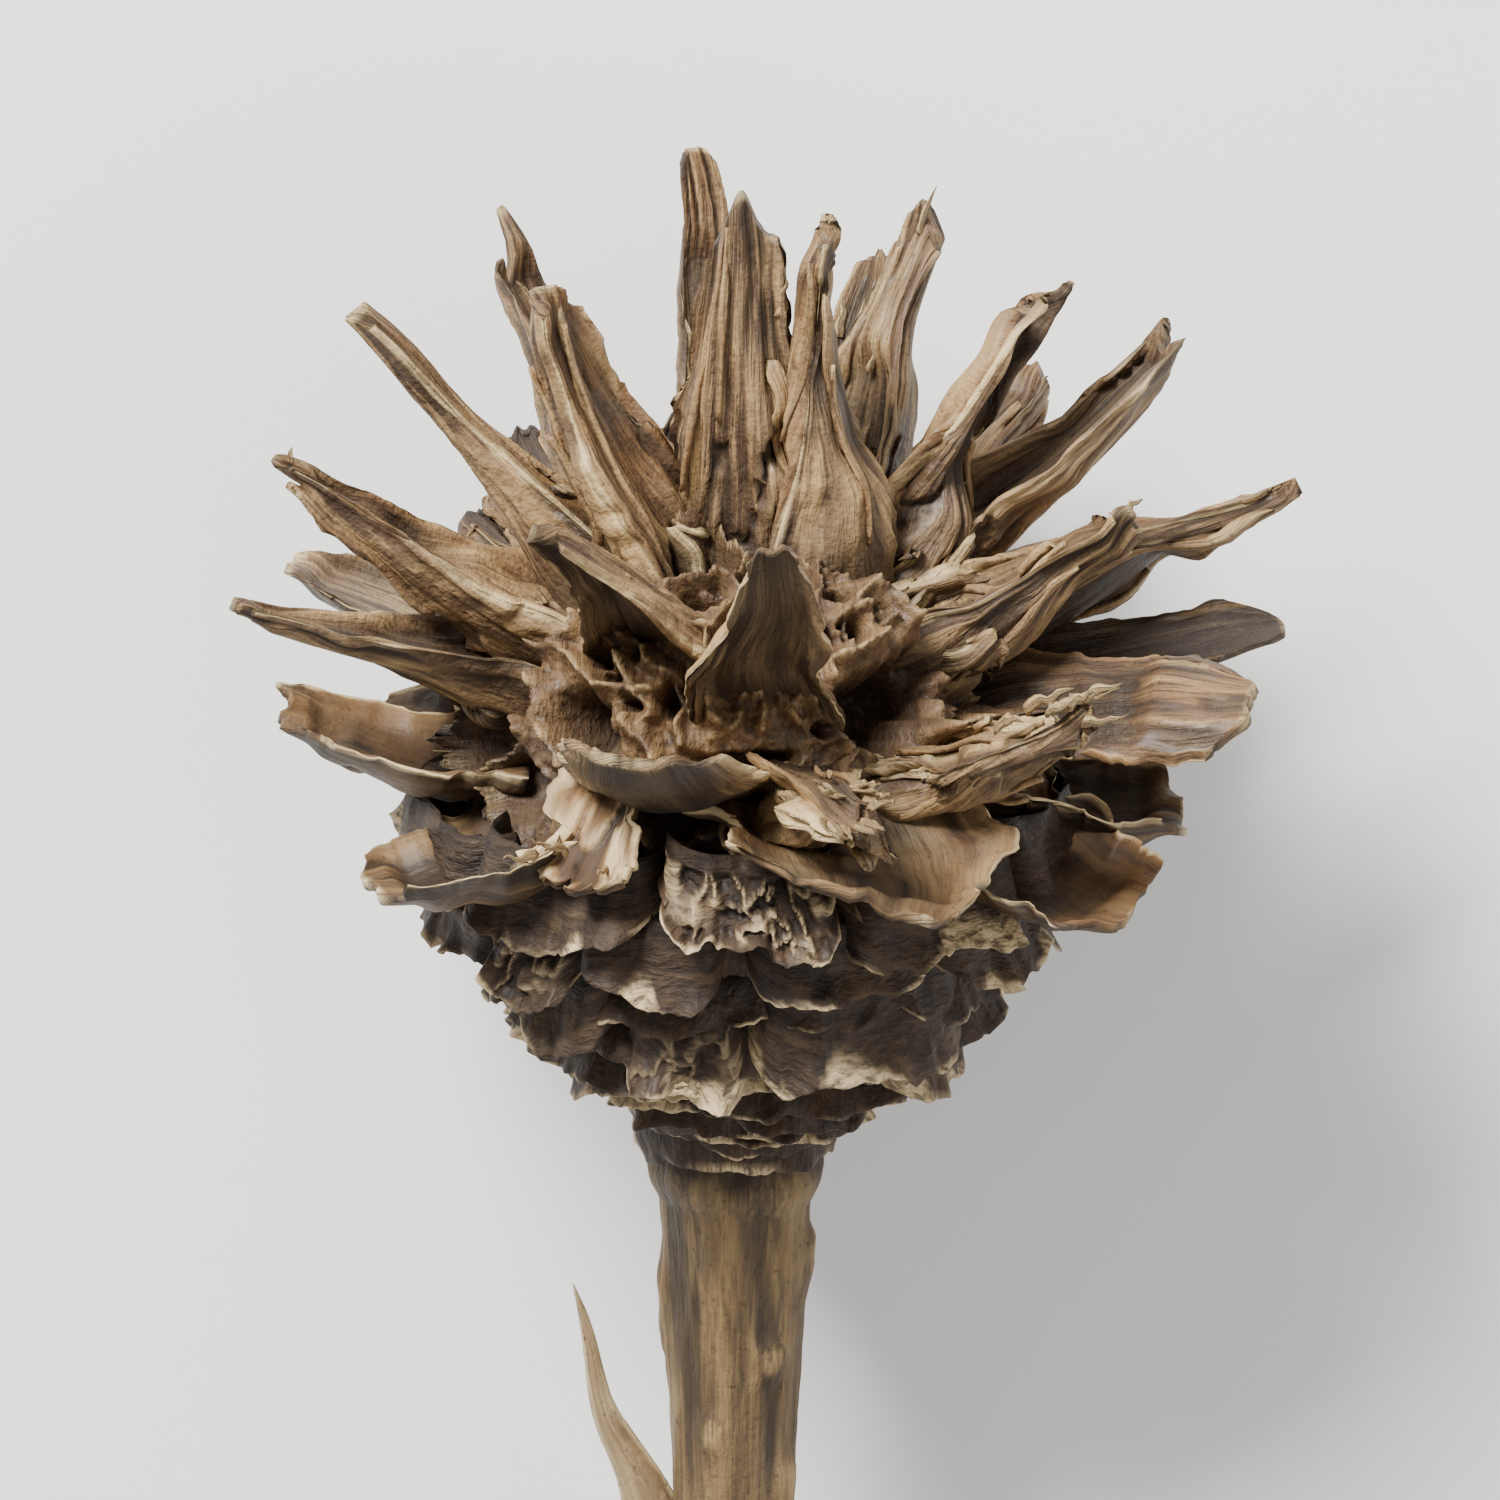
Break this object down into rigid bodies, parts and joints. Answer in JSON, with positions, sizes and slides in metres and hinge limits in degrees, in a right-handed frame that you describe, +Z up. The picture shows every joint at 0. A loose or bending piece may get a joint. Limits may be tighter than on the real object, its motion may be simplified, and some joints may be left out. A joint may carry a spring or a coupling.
{
  "type": "dried pincushion protea flower head",
  "caption": "Dried, waxed pincushion protea head of splintered woody bracts on a cut stem, lying down.",
  "frame": {"origin": "on the surface that the flower lies on, under the middle of its box", "axes": "+Y from the stem's cut end to the flower head, +Z up, +X to the right of the flower's best side, which faces up"},
  "size_m": [0.072, 0.1862, 0.0664],
  "materials": {
    "stem_bark": "waxed dry bark",
    "leaf_straw": "waxed dry leaf",
    "receptacle_wood": "waxed dry wood",
    "crown_wood": "waxed split fibre",
    "rim_wood": "waxed split fibre",
    "scale_wood": "waxed dry scale"
  },
  "bodies": {
    "root": {"stem": "stem_bark", "stem_leaf": "leaf_straw", "receptacle": "receptacle_wood", "crown_bract_01": "crown_wood", "crown_bract_02": "crown_wood", "crown_bract_03": "crown_wood", "crown_bract_04": "crown_wood", "crown_bract_05": "crown_wood", "crown_bract_06": "crown_wood", "crown_bract_07": "crown_wood", "crown_bract_08": "crown_wood", "crown_bract_09": "crown_wood", "crown_bract_10": "crown_wood", "crown_bract_11": "crown_wood", "crown_bract_12": "crown_wood", "crown_bract_13": "crown_wood", "crown_bract_14": "crown_wood", "crown_bract_15": "crown_wood", "crown_bract_16": "crown_wood", "crown_bract_17": "crown_wood", "crown_bract_18": "crown_wood", "crown_bract_19": "crown_wood", "crown_bract_20": "crown_wood", "crown_bract_21": "crown_wood", "crown_bract_22": "crown_wood", "crown_bract_23": "crown_wood", "crown_bract_24": "crown_wood", "crown_bract_25": "crown_wood", "crown_bract_26": "crown_wood", "crown_bract_27": "crown_wood", "crown_bract_28": "crown_wood", "crown_bract_29": "crown_wood", "crown_bract_30": "crown_wood", "crown_bract_31": "crown_wood", "crown_bract_32": "crown_wood", "rim_bract_01": "rim_wood", "rim_bract_02": "rim_wood", "rim_bract_03": "rim_wood", "rim_bract_04": "rim_wood", "rim_bract_05": "rim_wood", "rim_bract_06": "rim_wood", "rim_bract_07": "rim_wood", "rim_bract_08": "rim_wood", "rim_bract_09": "rim_wood", "rim_bract_10": "rim_wood", "rim_bract_11": "rim_wood", "rim_bract_12": "rim_wood", "upper_scale_01": "scale_wood", "upper_scale_02": "scale_wood", "upper_scale_03": "scale_wood", "upper_scale_04": "scale_wood", "upper_scale_05": "scale_wood", "upper_scale_06": "scale_wood", "upper_scale_07": "scale_wood", "upper_scale_08": "scale_wood", "upper_scale_09": "scale_wood", "upper_scale_10": "scale_wood", "lower_scales_a": "scale_wood", "lower_scales_b": "scale_wood", "lower_scales_c": "scale_wood"}
  },
  "joints": []
}
